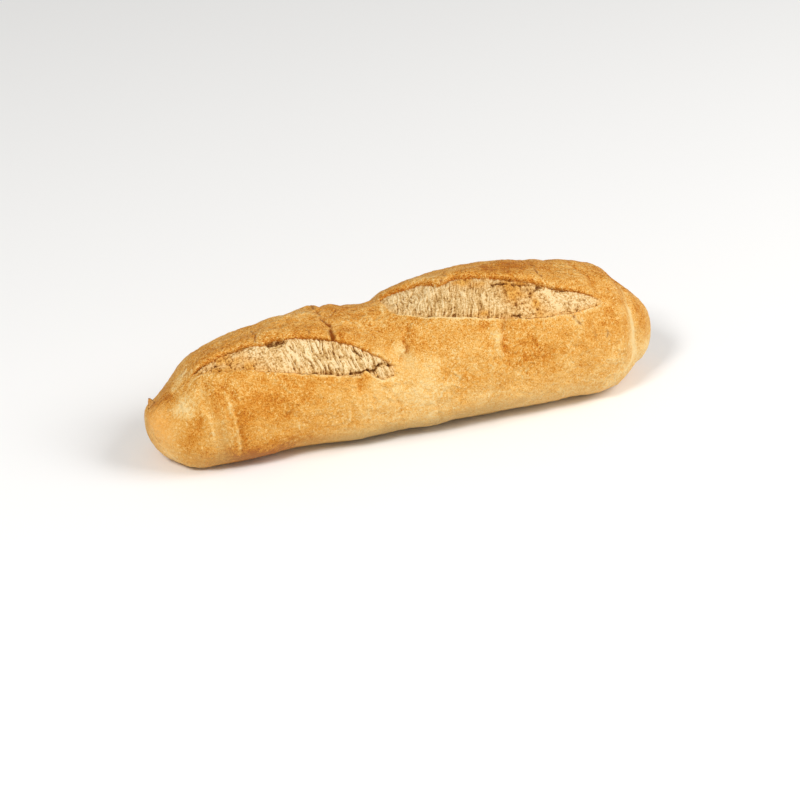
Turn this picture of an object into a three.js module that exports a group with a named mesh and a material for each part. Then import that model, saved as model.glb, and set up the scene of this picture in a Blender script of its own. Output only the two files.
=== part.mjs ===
// Mini baguette: one long white loaf, blunt at both ends, broader and taller towards +X,
// with two slanted slashes along its crown that have torn open in the oven.
// Millimetres, +X along the loaf, +Y to its back, +Z up.
// The origin is on the surface that the loaf rests on, under the middle of its box.

import * as THREE from "three";
import { mergeVertices } from "three/addons/utils/BufferGeometryUtils.js";

// Overall size. A pair holds the value at the slim end (-X) and then at the broad end (+X).
const LOAF_LENGTH = 240;
const HALF_WIDTH = [31.8, 37.3];
const CROWN_HEIGHT = [55.1, 61.6];
const CROWN_DROOP = [11.4, 6.8];
const TRAY_CUT = 1.2;

// Where along the loaf it grows broader and taller, as a fraction of half its length
const WIDENING = { middle: -0.135, reach: 0.475 };
const RISING = { middle: 0.11, reach: 0.255 };

// The saddle between the two slashes, and the sideways bow of the whole loaf
const SADDLE = { depth: 4.8, at: -0.085, reach: 0.175 };
const BOW = { out: 3.5, curl: 2 };

// Section: the widest level as a share of the height, and the squareness of crown and foot
const BELLY_LEVEL = 0.39;
const CROWN_SQUARENESS = 2.13;
const FOOT_SQUARENESS = 2.82;

// Ends: how long crown, sides and underside stay full before they round off to the tip
const CROWN_FULLNESS = [5.6, 7.2];
const SIDE_FULLNESS = [4.6, 3.8];
const UNDER_FULLNESS = [13, 10.5];
const END_ROUNDNESS = [2.4, 1.95];
const TIP_HEIGHT = [23.4, 22.4];

// Noses: past its shoulder each end narrows by a step to a smaller rounded knob
const SHOULDER = [0.875, 0.853];
const SHOULDER_RUN = [0.2, 0.115];
const NOSE_STEP_CROWN = [0.3, 0.12];
const NOSE_STEP_SIDE = [0.1, 0.18];
const NOSE_STEP_UNDER = [0, 0.17];

// Slashes. Angles are in degrees round the loaf: 0 at the front (-Y), 90 at the crown, 180 at the back.
const SLASHES = [
  {
    from: -0.835, to: -0.1, fromAngle: 79, toAngle: 27, bend: 0.85,
    halfOpening: 15, widestAt: 0.52, fullness: 0.65, lip: 1.2, depth: 1.9,
  },
  {
    from: -0.048, to: 0.73, fromAngle: 97, toAngle: 51, bend: 2.1,
    halfOpening: 20.5, widestAt: 0.2, fullness: 0.65, lip: 1.3, depth: 2.2,
  },
];
const FRONT_DROP = 0.6;
const FRONT_RIM = 0.35;
const EDGE_ANGLE = 1.1;
const RIM_ANGLE = 3;
const LIP_ANGLE = 13;
const DEEPENING = 1.5;
const TEAR_FADE = 0.22;

// Creases and folds, each a soft groove between two places on the crust
const CREASES = [
  // Where the broad end's knob meets the loaf
  { from: 0.868, fromAngle: 120, to: 0.868, toAngle: -24, depth: 1.4, width: 2.2 },
  // Soft rings round the slim end
  { from: -0.83, fromAngle: 70, to: -0.785, toAngle: -32, depth: 0.9, width: 2.4 },
  { from: -0.752, fromAngle: 58, to: -0.712, toAngle: -26, depth: 0.8, width: 2.4 },
  // The crack over the ridge behind the first slash
  { from: -0.298, fromAngle: 128, to: -0.314, toAngle: 58, depth: 1.3, width: 1.9 },
  // The dent on the front under the second slash
  { from: 0.323, fromAngle: 50, to: 0.307, toAngle: 17, depth: 0.9, width: 2.2 },
];
const ARC_PER_DEGREE = 0.56;
const CREASE_FADE = 0.18;

// Bulges and hollows: two flaps of crust that stand up on the ridge beside the crack,
// the uneven front foot, and the slim nose's slack back
const BULGES = [
  { at: -0.336, angle: 112, length: 0.03, spread: 24, height: 0.9 },
  { at: -0.258, angle: 116, length: 0.03, spread: 22, height: 1.0 },
  { at: -0.5, angle: -38, length: 0.1, spread: 34, height: -1.2 },
  { at: -0.27, angle: -38, length: 0.1, spread: 34, height: 1.8 },
  { at: -0.06, angle: -38, length: 0.07, spread: 30, height: -1.2 },
  { at: 0.7, angle: -30, length: 0.06, spread: 30, height: 1.3 },
  { at: -0.87, angle: -38, length: 0.06, spread: 30, height: 1.4 },
  { at: -0.9, angle: 140, length: 0.07, spread: 32, height: -2.8 },
];

// Slow swells of the whole crust
const SWELLS = [
  { height: 0.55, along: 7.3, start: 1.1, round: 2, turn: 0.4 },
  { height: 0.4, along: 12.7, start: 2.3, round: 3, turn: 1.9 },
  { height: 0.3, along: 19.1, start: 0.6, round: 5, turn: 0.9 },
];
const SWELL_FADE = 8;

// Net of faces: stations along the loaf, crowded at the tips, and columns round it.
// Columns run along each slash's edges, stand still over the foot, and are spread evenly between
// and at the tips.
const STATION_STEPS = 100;
const END_CROWDING = 0.72;
const FRONT_COLUMNS = [-10, -4.5, -EDGE_ANGLE, EDGE_ANGLE];
const CRUMB_COLUMNS = [-0.45, 0, 0.34, 0.6];
const LIP_COLUMNS = [-EDGE_ANGLE, EDGE_ANGLE, 5, 11, 19];
const LEAST_HALF_OPENING = 4.5;
const TWIST = 62;
const MOST_TWIST = 30;
const FOOT_ANGLES = { back: 205, front: 335 };
const STEPS_BETWEEN = { slashes: 7, back: 9, foot: 14, front: 5 };
const EVEN_TIPS = { from: 0.87, by: 0.98 };

const CRUST_COLOUR = 0xdfa659;
const CRUST_ROUGHNESS = 0.72;
const MERGE_DISTANCE = 1e-4;

const degrees = THREE.MathUtils.degToRad;
const bell = (distance) => Math.exp(-distance * distance);

function smooth(t) {
  return THREE.MathUtils.smoothstep(t, 0, 1);
}

function between(value, low, high) {
  return THREE.MathUtils.smoothstep(value, low, high);
}

function atEnd(u, pair) {
  return u < 0 ? pair[0] : pair[1];
}

function grade(u, pair, ease) {
  const share = smooth((u - ease.middle) / (2 * ease.reach) + 0.5);
  return THREE.MathUtils.lerp(pair[0], pair[1], share);
}

// Share of the full size left at station u: a step down to the nose, then a rounded tip
function endShare(u, fullness, noseStep) {
  const past = (Math.abs(u) - atEnd(u, SHOULDER)) / atEnd(u, SHOULDER_RUN) + 0.5;
  const nose = 1 - atEnd(u, noseStep) * smooth(past);
  const left = Math.max(1 - Math.abs(u) ** atEnd(u, fullness), 0);
  return nose * left ** (1 / atEnd(u, END_ROUNDNESS));
}

// Half width, rise above and fall below the widest level, and the section's centre
function sectionAt(u) {
  const saddle = SADDLE.depth * bell((u - SADDLE.at) / SADDLE.reach);
  const height = grade(u, CROWN_HEIGHT, RISING) - saddle - atEnd(u, CROWN_DROOP) * u * u;
  const underShare = endShare(u, UNDER_FULLNESS, NOSE_STEP_UNDER);
  const level = THREE.MathUtils.lerp(atEnd(u, TIP_HEIGHT), BELLY_LEVEL * height, underShare);
  return {
    halfWidth: grade(u, HALF_WIDTH, WIDENING) * endShare(u, SIDE_FULLNESS, NOSE_STEP_SIDE),
    rise: (height - level) * endShare(u, CROWN_FULLNESS, NOSE_STEP_CROWN),
    fall: level * underShare,
    centreY: BOW.out * (1 - BOW.curl * u * u),
    centreZ: level,
  };
}

// Radius of the section's superellipse, squarer at the foot than at the crown
function sectionRadius(section, angle) {
  const up = Math.sin(angle) >= 0;
  const power = up ? CROWN_SQUARENESS : FOOT_SQUARENESS;
  const reach = up ? section.rise : section.fall;
  const across = Math.abs(Math.cos(angle) / section.halfWidth) ** power;
  const upward = Math.abs(Math.sin(angle) / reach) ** power;
  return (across + upward) ** (-1 / power);
}

// Share of the way along a slash, 0 to 1, and its middle line's angle and half opening there
function slashLine(u, slash) {
  const along = THREE.MathUtils.clamp((u - slash.from) / (slash.to - slash.from), 0, 1);
  const peak = Math.log(0.5) / Math.log(slash.widestAt);
  const opening = Math.max(Math.sin(Math.PI * along ** peak), 0) ** slash.fullness;
  return {
    along,
    middle: slash.toAngle + (slash.fromAngle - slash.toAngle) * (1 - along) ** slash.bend,
    half: Math.max(slash.halfOpening * opening, LEAST_HALF_OPENING),
  };
}

// A torn slash: nearly flush with the crust in front, deepest under the raised lip at its back
function slashRelief(u, angle, slash) {
  const { along, middle, half } = slashLine(u, slash);
  const fromFront = angle - (middle - half);
  const fromLip = angle - (middle + half);
  const deepening = smooth(fromFront / (2 * half)) ** DEEPENING;
  const floor = FRONT_DROP + (slash.depth - FRONT_DROP) * deepening;
  const pastFront = between(fromFront, -EDGE_ANGLE, EDGE_ANGLE);
  const pastLip = between(fromLip, -EDGE_ANGLE, EDGE_ANGLE);
  const lip = slash.lip * pastLip * bell(Math.max(fromLip - EDGE_ANGLE, 0) / LIP_ANGLE);
  const rim = FRONT_RIM * bell((fromFront + RIM_ANGLE) / RIM_ANGLE);
  const tear = smooth(along / TEAR_FADE) * smooth((1 - along) / TEAR_FADE);
  return tear * (lip + rim - floor * pastFront * (1 - pastLip));
}

// A groove along the straight line between its two places, soft across and fading at both ends
function creaseRelief(u, angle, crease) {
  const half = LOAF_LENGTH / 2;
  const start = new THREE.Vector2(crease.from * half, crease.fromAngle * ARC_PER_DEGREE);
  const run = new THREE.Vector2(crease.to * half, crease.toAngle * ARC_PER_DEGREE).sub(start);
  const place = new THREE.Vector2(u * half, angle * ARC_PER_DEGREE).sub(start);
  const along = place.dot(run) / run.lengthSq();
  const across = place.cross(run) / run.length();
  const fade = smooth(along / CREASE_FADE) * smooth((1 - along) / CREASE_FADE);
  return -crease.depth * bell(across / crease.width) * fade;
}

function bulgeRelief(u, angle, bulge) {
  const along = (u - bulge.at) / bulge.length;
  return bulge.height * bell(along) * bell((angle - bulge.angle) / bulge.spread);
}

function swellRelief(u, angle, swell) {
  const wave = Math.sin(swell.along * u + swell.start);
  return swell.height * wave * Math.cos(swell.round * degrees(angle) + swell.turn);
}

function relief(u, angle) {
  const sum = (list, shape) => list.reduce((total, item) => total + shape(u, angle, item), 0);
  const swells = sum(SWELLS, swellRelief) * (1 - Math.abs(u) ** SWELL_FADE);
  return sum(SLASHES, slashRelief) + sum(CREASES, creaseRelief) + sum(BULGES, bulgeRelief) + swells;
}

// Point of the crust at station u (-1 to 1) and angle, with the foot flattened by the baking tray
function crustPoint(u, angle) {
  const x = (u * LOAF_LENGTH) / 2;
  const section = sectionAt(u);
  if (Math.abs(u) >= 1) {
    return new THREE.Vector3(x, section.centreY, section.centreZ - TRAY_CUT);
  }
  const turn = degrees(angle);
  const front = THREE.MathUtils.euclideanModulo(angle + 90, 360) - 90;
  const radius = sectionRadius(section, turn) + relief(u, front);
  const z = section.centreZ + radius * Math.sin(turn) - TRAY_CUT;
  return new THREE.Vector3(x, section.centreY - radius * Math.cos(turn), Math.max(z, 0));
}

// Stations crowd towards the tips
function stationAt(share) {
  const even = 2 * share - 1;
  return THREE.MathUtils.lerp(even, Math.sin((Math.PI / 2) * even), END_CROWDING);
}

// Angles of the columns over one slash at station u; past its tips they twist on a little
function slashColumns(u, slash) {
  const { middle, half } = slashLine(u, slash);
  const past = u - THREE.MathUtils.clamp(u, slash.from, slash.to);
  const twist = THREE.MathUtils.clamp(TWIST * past, -MOST_TWIST, MOST_TWIST);
  return [
    ...FRONT_COLUMNS.map((past) => middle - twist - half + past),
    ...CRUMB_COLUMNS.map((share) => middle - twist + share * half),
    ...LIP_COLUMNS.map((past) => middle - twist + half + past),
  ];
}

// Angles strictly between two columns, evenly spread
function spread(low, high, steps) {
  const inner = Array.from({ length: steps - 1 }, (_, i) => (i + 1) / steps);
  return inner.map((share) => THREE.MathUtils.lerp(low, high, share));
}

// All columns' angles at station u, from the first slash's front round to the same place again
function columnAngles(u) {
  const [first, second] = SLASHES.map((slash) => slashColumns(u, slash));
  const start = first[0] + 360;
  const angles = [
    ...first,
    ...spread(first.at(-1), second[0], STEPS_BETWEEN.slashes),
    ...second,
    ...spread(second.at(-1), FOOT_ANGLES.back, STEPS_BETWEEN.back),
    FOOT_ANGLES.back,
    ...spread(FOOT_ANGLES.back, FOOT_ANGLES.front, STEPS_BETWEEN.foot),
    FOOT_ANGLES.front,
    ...spread(FOOT_ANGLES.front, start, STEPS_BETWEEN.front),
    start,
  ];
  const even = [first[0], ...spread(first[0], start, angles.length - 1), start];
  const evening = between(Math.abs(u), EVEN_TIPS.from, EVEN_TIPS.by);
  return angles.map((angle, i) => THREE.MathUtils.lerp(angle, even[i], evening));
}

// The sphere's net of faces is laid over the crust, its poles at the two tips
function loafGeometry() {
  const columns = columnAngles(0).length - 1;
  const net = new THREE.SphereGeometry(1, columns, STATION_STEPS);
  const { position, uv } = net.attributes;
  for (let i = 0; i < position.count; i += 1) {
    const u = stationAt(1 - uv.getY(i));
    const column = Math.round(uv.getX(i) * columns);
    const point = crustPoint(u, columnAngles(u)[column]);
    position.setXYZ(i, point.x, point.y, point.z);
  }
  net.deleteAttribute("normal");
  net.deleteAttribute("uv");
  const loaf = mergeVertices(net, MERGE_DISTANCE);
  loaf.computeBoundingBox();
  const { min, max } = loaf.boundingBox;
  loaf.translate(-(min.x + max.x) / 2, -(min.y + max.y) / 2, -min.z);
  loaf.computeVertexNormals();
  return loaf;
}

function makeLoaf() {
  const crust = new THREE.MeshStandardMaterial({
    color: CRUST_COLOUR,
    roughness: CRUST_ROUGHNESS,
    metalness: 0,
  });
  const loaf = new THREE.Mesh(loafGeometry(), crust);
  loaf.name = "loaf";
  return loaf;
}

const baguette = new THREE.Group();
baguette.name = "mini_baguette";
baguette.add(makeLoaf());

export default baguette;
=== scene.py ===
# Mini baguette: crust, torn crumb and flakes of a short white loaf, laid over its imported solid.
# Shapes are worked out in millimetres and handed to Blender in metres.

import math

import bpy
import numpy as np
from mathutils import Matrix, Vector


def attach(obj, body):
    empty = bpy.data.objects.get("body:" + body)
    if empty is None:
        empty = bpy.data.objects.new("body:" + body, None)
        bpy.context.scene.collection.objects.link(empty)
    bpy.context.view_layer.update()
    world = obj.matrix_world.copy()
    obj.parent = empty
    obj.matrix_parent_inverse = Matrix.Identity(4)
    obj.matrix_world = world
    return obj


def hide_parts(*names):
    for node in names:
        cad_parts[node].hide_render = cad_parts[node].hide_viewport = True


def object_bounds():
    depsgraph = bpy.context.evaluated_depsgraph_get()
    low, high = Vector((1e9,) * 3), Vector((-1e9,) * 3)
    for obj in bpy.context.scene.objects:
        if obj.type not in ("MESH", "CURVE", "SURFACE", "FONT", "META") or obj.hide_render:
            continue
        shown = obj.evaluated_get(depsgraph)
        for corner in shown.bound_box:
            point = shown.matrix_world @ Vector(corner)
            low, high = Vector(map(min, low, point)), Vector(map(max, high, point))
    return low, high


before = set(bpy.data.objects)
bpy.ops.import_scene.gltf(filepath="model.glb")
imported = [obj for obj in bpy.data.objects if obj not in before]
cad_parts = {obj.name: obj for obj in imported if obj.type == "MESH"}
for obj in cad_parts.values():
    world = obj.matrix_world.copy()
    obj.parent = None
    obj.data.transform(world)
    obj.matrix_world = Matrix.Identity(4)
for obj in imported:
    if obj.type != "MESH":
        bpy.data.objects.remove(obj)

bl_info = {
    "name": "Mini Baguette",
    "version": (1, 0, 0),
    "blender": (4, 5, 0),
    "location": "View3D > Sidebar > Baguette",
    "description": "Crust, torn crumb and flakes of a mini baguette, and the studio that shows it",
    "category": "Object",
}

CAD_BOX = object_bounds()
MM = 0.001
# Length in mm that the form is worked out at, before it is scaled to the frame
LOAF_LENGTH = 240.0
HALF_LENGTH = LOAF_LENGTH / 2

# Form of the loaf, with the same values as its solid.
# A pair holds the value at the slim end (-X) and then at the broad end (+X).
# Stations run from -1 to 1 along the loaf. Angles are in degrees round it:
# 0 at the front (-Y), 90 at the crown, 180 at the back.
HALF_WIDTH = (31.8, 37.3)
CROWN_HEIGHT = (55.1, 61.6)
CROWN_DROOP = (11.4, 6.8)
TRAY_CUT = 1.2
WIDENING = {"middle": -0.135, "reach": 0.475}
RISING = {"middle": 0.11, "reach": 0.255}
SADDLE = {"depth": 4.8, "at": -0.085, "reach": 0.175}
BOW = {"out": 3.5, "curl": 2.0}
BELLY_LEVEL = 0.39
CROWN_SQUARENESS = 2.13
FOOT_SQUARENESS = 2.82
CROWN_FULLNESS = (5.6, 7.2)
SIDE_FULLNESS = (4.6, 3.8)
UNDER_FULLNESS = (13.0, 10.5)
END_ROUNDNESS = (2.4, 1.95)
TIP_HEIGHT = (23.4, 22.4)
SHOULDER = (0.875, 0.853)
SHOULDER_RUN = (0.2, 0.115)
NOSE_STEP_CROWN = (0.3, 0.12)
NOSE_STEP_SIDE = (0.1, 0.18)
NOSE_STEP_UNDER = (0.0, 0.17)
# Least radius of a section in mm, so that nothing is divided by 0 at the tips
LEAST_RADIUS = 1e-6

# Slashes: where each begins and ends, how far it has opened, and how its lip and crumb lie. Openings are in
# degrees, with the least half opening at start and end. Tongues of the front edge and dips of the lip are
# (station, reach, degrees). A pair of tuples holds places along the slash, from 0 to 1, and values there:
# fibrous is crumb drawn out to fibres, parted is crumb that has come off the front edge, rimmed is how pale
# that edge is, and crumbly is how rough the lip is. Lean is how far the fibres slant.
SLASHES = (
    {
        "name": "first", "seed": 40,
        "start": -0.838, "end": -0.096, "start_angle": 79, "end_angle": 27, "bend": 0.85,
        "half_opening": 15.0, "least": (2.5, 4.5), "widest_at": 0.52, "fullness": 0.65, "fades": (0.045, 0.1),
        "tongues": ((-0.222, 0.016, 4.0), (-0.165, 0.03, -2.0)), "dips": ((-0.575, 0.028, -4.0),),
        "lip": 1.2, "depth": 1.1, "gaps": 1.0, "holes": 0.15, "lean": 0.15,
        "fibrous": ((0.3, 0.5), (0.0, 1.0)),
        "parted": ((0.4, 0.6), (0.0, 1.0)),
        "rimmed": ((0.3, 0.45), (0.1, 0.5)),
        "crumbly": ((0.1, 0.3), (0.2, 0.5)),
    },
    {
        "name": "second", "seed": 60,
        "start": -0.055, "end": 0.738, "start_angle": 97, "end_angle": 51, "bend": 2.1,
        "half_opening": 20.5, "least": (4.5, 1.5), "widest_at": 0.2, "fullness": 0.65, "fades": (0.05, 0.1),
        "tongues": (), "dips": ((0.158, 0.034, -7.0),),
        "lip": 1.3, "depth": 1.2, "gaps": 0.8, "holes": 0.45, "lean": -0.32,
        "fibrous": ((0.42, 0.58), (0.9, 0.15)),
        "parted": ((0.05, 0.12, 0.3, 0.5, 0.8), (0.5, 1.0, 0.9, 0.4, 0.2)),
        "rimmed": ((0.3, 0.5), (1.0, 0.3)),
        "crumbly": ((0.2, 0.26, 0.33, 0.45, 0.75, 0.9), (0.2, 1.0, 0.4, 1.0, 1.0, 0.2)),
    },
)
# Relief of a slash, heights in mm and widths in degrees: bed at the front edge, rim before it, lip behind,
# how late the bed deepens, how soft its edges are, and how far it lies under the crumb
FRONT_DROP = 0.4
FRONT_RIM = 0.35
RIM_ANGLE = 3.0
LIP_ANGLE = 13.0
DEEPENING = 1.5
EDGE_ANGLE = 0.6
UNDER_CRUMB = 2.4
# How much plumper the crust's lips are than the solid's, and their roll by the edge: degrees and share
PLUMPER = 1.6
LIP_CREST = 4.0
LIP_ROLL = 0.6
# Soft lines beside a slash's edges, as degrees past the edge and width in degrees
ROUGH_FRONT = (-2.0, 4.0)
ROUGH_LIP = (1.5, 2.0)
LIP_LINE = (0.6, 0.8)
# line of painted shadow on the wall under each lip
LIP_SHADOW_LINE = (-0.4, 0.7)
PALE_RIM = (-0.9, 1.1)
FRONT_GAP = (0.4, 1.4)
LIP_GAP = (0.0, 1.4)
# How rough the front edge is, and how much of its line a crumbly lip loses
FRONT_ROUGHNESS = 0.6
LINE_LOST = 0.5

# Ragged edges: how far a torn edge strays, in degrees, and the lengths of its waves in mm
FRONT_RAGGED = 1.5
LIP_RAGGED = 0.8
RAGGED_WAVES = (6.0, 2.2, 0.9)

# Grooves as (station, angle, station, angle, depth, width), sizes in mm: first the soft folds of the form,
FOLDS = (
    # the broad end's knob
    (0.868, 120, 0.868, -24, 1.4, 2.2),
    # rings round the slim end
    (-0.83, 70, -0.785, -32, 0.9, 2.4), (-0.752, 58, -0.712, -26, 0.8, 2.4),
    # the fold over the ridge
    (-0.298, 128, -0.314, 58, 1.3, 1.9),
    # the dent under the second slash
    (0.323, 50, 0.307, 17, 0.9, 2.2),
)
# then the narrow cracks and wrinkles that only the crust has
CRACKS = (
    # down the fold over the ridge, crooked, and its side branch
    (-0.288, 126, -0.312, 90, 0.55, 0.45), (-0.312, 94, -0.302, 66, 0.85, 0.5),
    (-0.3, 71, -0.327, 55, 1.4, 0.7), (-0.316, 87, -0.274, 89.5, 0.8, 0.45),
    (-0.28, 88, -0.234, 100, 0.6, 0.45), (-0.38, 81, -0.397, 68, 0.5, 0.6),
    # across the lips
    (-0.568, 106, -0.581, 84, 0.8, 0.45), (-0.581, 87, -0.57, 68, 0.9, 0.45),
    (0.158, 87, 0.222, 102, 0.5, 0.6), (0.538, 94, 0.514, 72, 1.0, 0.6),
    # top of the dent
    (0.326, 50, 0.314, 36, 0.3, 0.9),
    # beside the second slash's broad end
    (0.573, 44, 0.592, 41, 0.55, 0.5), (0.588, 42.5, 0.612, 34, 0.6, 0.5), (0.66, 36, 0.68, 19, 0.2, 0.6),
    (0.722, 30, 0.728, 26, 0.35, 0.45), (0.73, 27, 0.716, 21, 0.35, 0.45),
)
# Pale creases, where the crust was folded in and hardly browned
PALE_CREASES = (
    (0.872, 96, 0.862, 50, 0.25, 0.9), (0.862, 60, 0.872, -16, 0.35, 1.5),
    (0.865, 60, 0.874, -16, 0.5, 0.6), (0.872, -6, 0.8, -18, 0.4, 1.4),
    (-0.828, 66, -0.79, -26, 0.1, 1.8), (-0.742, 50, -0.704, -22, 0.14, 1.0),
    (-0.066, 94, -0.077, 72, 0.3, 0.5),
)
# Wrinkles, darkened with painted shade in their creases
WRINKLES = (
    # behind the second lip
    (0.552, 116, 0.536, 90, 0.5, 0.9),
    # broad end
    (0.69, 116, 0.735, 60, 0.8, 1.6), (0.765, 92, 0.78, 76, 0.5, 0.7), (0.79, 84, 0.8, 72, 0.5, 0.7),
    (0.81, 104, 0.835, 66, 0.45, 1.0), (0.835, 78, 0.845, 40, 0.45, 0.8), (0.81, 46, 0.825, 4, 0.35, 1.0),
    # step beside the end of the first slash
    (-0.014, 61, -0.05, 49, 0.7, 0.8), (-0.05, 52.5, -0.035, 44, 0.9, 0.7),
    (-0.034, 47.5, -0.051, 39, 1.0, 0.7), (-0.042, 41.5, -0.095, 37, 1.0, 0.7),
    # rings round the slim end
    (-0.736, 48, -0.7, -24, 0.5, 0.9), (-0.814, 58, -0.84, -18, 0.25, 1.2),
    # dent under the second slash, and marks on the front
    (0.322, 44, 0.308, 18, 0.5, 1.1), (0.15, 30, 0.13, -8, 0.35, 1.4), (0.03, 4, 0.06, -22, 0.5, 0.9),
    (-0.12, 14, -0.105, -8, 0.5, 0.9), (-0.29, 12, -0.262, -14, 0.5, 0.9),
    (-0.22, 24, -0.2, 2, 0.45, 1.2), (-0.257, 30, -0.254, 15, 0.4, 1.2),
    (-0.87, 60, -0.85, 10, 0.35, 1.4),
)
# Ridges that stand up: rings round the slim end, and short wrinkles low on the front, both lightened with
# painted highlight
RIDGES = (
    (-0.748, 48, -0.714, -22, 0.62, 0.8), (-0.834, 34, -0.806, -4, 0.5, 0.6),
    (-0.29, 11, -0.298, -6, 0.4, 0.5), (-0.267, 10, -0.256, -4, 0.35, 0.5),
    (-0.243, 5, -0.212, -13, 0.4, 0.5), (-0.174, -5, -0.134, -15, 0.4, 0.5),
)
# Share of a crack's depth that is cut, height and width of its curled edges, and how far it strays
CRACK_DEPTH = 0.9
CURL_HEIGHT = 0.4
CURL_WIDTH = 2.4
CRACK_STRAY = 1.4
# Cracks and tears open unevenly, in waves of (length in mm, level, swing, least, most)
CRACK_GAPS = (2.2, 0.75, 0.9, 0.25, 1.3)
TEAR_GAPS = (1.4, 1.0, 0.8, 0.3, 1.3)
# Tears in the crumb
CRUMB_TEARS = (
    # first slash: hole under the lip, tear across, gaps by the lip and along the front edge, torn pocket
    (-0.555, 71, -0.475, 70, 1.6, 1.3), (-0.48, 66, -0.44, 53, 0.8, 0.5),
    (-0.445, 55, -0.412, 40, 0.7, 0.5), (-0.318, 60, -0.33, 46, 0.6, 0.45),
    (-0.275, 57, -0.25, 48, 0.7, 0.4), (-0.25, 51, -0.228, 41, 0.7, 0.4),
    (-0.225, 48.5, -0.205, 42, 0.6, 0.4), (-0.44, 38, -0.4, 37, 0.8, 0.5),
    (-0.3, 32, -0.21, 32, 1.0, 0.55), (-0.23, 32.5, -0.193, 31.2, 1.2, 0.7),
    (-0.2, 31, -0.176, 35.5, 1.0, 0.5), (-0.185, 34.5, -0.15, 36.5, 1.0, 0.55),
    (-0.16, 36.5, -0.132, 33, 1.0, 0.55), (-0.142, 33, -0.112, 36, 1.5, 0.8),
    # second slash: holes under the lip, gaps along the front edge
    (0.32, 73, 0.39, 71, 1.1, 0.7), (0.395, 69.5, 0.455, 68.5, 1.0, 0.7),
    (0.485, 66, 0.525, 64, 1.1, 0.8), (0.575, 61.5, 0.61, 59.5, 0.9, 0.6),
    (0.03, 69, 0.075, 60.5, 0.6, 0.5), (0.068, 62, 0.115, 57.3, 0.7, 0.5),
    (0.108, 58, 0.165, 55, 0.6, 0.45), (0.35, 46, 0.4, 44.5, 0.9, 0.5),
)
# Smooth smear across the second slash's crumb, in the same terms
CRUMB_SMEARS = ((0.516, 68, 0.552, 42, 0.85, 2.0),)
# How far folds wander in mm, and their waves as (length in mm, height)
WANDER = 0.9
WANDER_WAVES = ((5.0, 1.0), (1.8, 0.5))
# Mm round the loaf in a degree, and the share of a groove over which each end fades
ARC_PER_DEGREE = 0.56
GROOVE_FADE = 0.18
# How sharp the creases between random lumps are
CREASE_SHARPNESS = 3

# Bulges and hollows as (station, angle, length, spread, height)
BULGES = (
    (-0.336, 112, 0.03, 24, 0.9), (-0.258, 116, 0.03, 22, 1.0), (-0.5, -38, 0.1, 34, -1.2),
    (-0.27, -38, 0.1, 34, 1.8), (-0.06, -38, 0.07, 30, -1.2), (0.7, -30, 0.06, 30, 1.3),
    (-0.87, -38, 0.06, 30, 1.4), (-0.9, 140, 0.07, 32, -2.8),
)
# and those that only the crust has
CRUST_BULGES = (
    # pale lobe beside the first slash's end, both sides of the dent, a blister, the slim end's flattened chin
    (-0.08, 48, 0.026, 9, 0.7), (0.285, 32, 0.018, 12, 0.5), (0.35, 28, 0.025, 12, 0.4),
    (0.778, 80, 0.01, 4, 0.5), (-0.955, -34, 0.05, 30, -1.6),
    # knuckles of the ridge
    (-0.345, 112, 0.02, 24, -0.5), (-0.3, 112, 0.018, 24, 1.3), (-0.262, 118, 0.018, 24, -1.5),
    (-0.215, 114, 0.03, 22, 0.8),
    # lower crown and notch behind the second lip, slimmer knob
    (0.56, 110, 0.1, 26, -0.8), (0.63, 110, 0.025, 24, -0.8), (0.93, 84, 0.04, 24, -1.2),
)
# Slow swells as (height, waves along, start, waves round, turn)
SWELLS = ((0.55, 7.3, 1.1, 2, 0.4), (0.4, 12.7, 2.3, 3, 1.9), (0.3, 19.1, 0.6, 5, 0.9))
SWELL_FADE = 8
# Random lumps of the crust as (size, height), the level above which they are full, and its pits, all in mm
LUMPS = ((8.0, 1.2), (3.0, 0.55), (1.3, 0.3))
LUMPS_BEGIN = 6.0
PIT_SIZE = 1.9
PIT_DEPTH = 0.4

# Net of the crust: stations along, and columns between the edges that they follow
STATIONS = 575
TIP_CROWDING = 9
SLASH_STEPS = (3, 4, 4, 10)
GAP_STEPS = {"slashes": 30, "back": 26, "foot": 10, "front": 64}
FOOT_ANGLES = {"back": 205, "front": 335}
TWIST = 62
MOST_TWIST = 30
EVEN_TIPS = (0.87, 0.98)

# Net of a torn crumb, margin at the slash's ends, tuck under the crust in degrees and mm, thickness in mm
CRUMB_STATIONS = 430
CRUMB_COLUMNS = 100
CRUMB_BACK_COLUMNS = 8
CRUMB_MARGIN = 0.004
CRUMB_TUCK = 0.9
TUCK_DEPTH = 1.3
CRUMB_THICKNESS = 3.2
# How it lies in mm: lifted off its bed, puffed up, risen towards the lip over these shares of its width, sunk
# at its ends, and parted from the crust
CRUMB_LIFT = 0.35
CRUMB_PUFF = 0.4
CRUMB_RISE = 1.3
RISE_FROM = (0.45, 0.95)
END_DEPTH = 0.4
EDGE_GAP = 0.8
PARTED = 0.4
# Length of the fibres' waves, and how wide and how far strands are shifted against each other, in mm
THREAD_WAVE = 6.0
DRAWN_WIDTH = 1.3
DRAWN_OUT = 4.0
# Ridges, waves and gaps of the crumb as (fibre width, fibre length, grain, creased, two seeds)
CRUMB_TEXTURES = ((0.48, 4.0, 1.1, True, 2, 4), (0.34, 2.0, 0.6, False, 3, 5), (0.7, 4.5, 1.3, True, 12, 13))
# Its lumps, and its bumps with the share of their height that fibres lose
LUMP_SIZE = 5.0
BUMP = {"size": 1.7, "height": 0.6, "lost": 0.7}
# Pores and holes in mm, the heights of random waves between which they open, and depths of gaps and pores
PORES = {"width": 1.1, "length": 1.4, "open": (0.35, 0.6)}
HOLES = {"size": 1.5, "open": (0.4, 0.6)}
GAP_SHARE = 0.7
PORE_SHARE = 0.6
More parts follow.
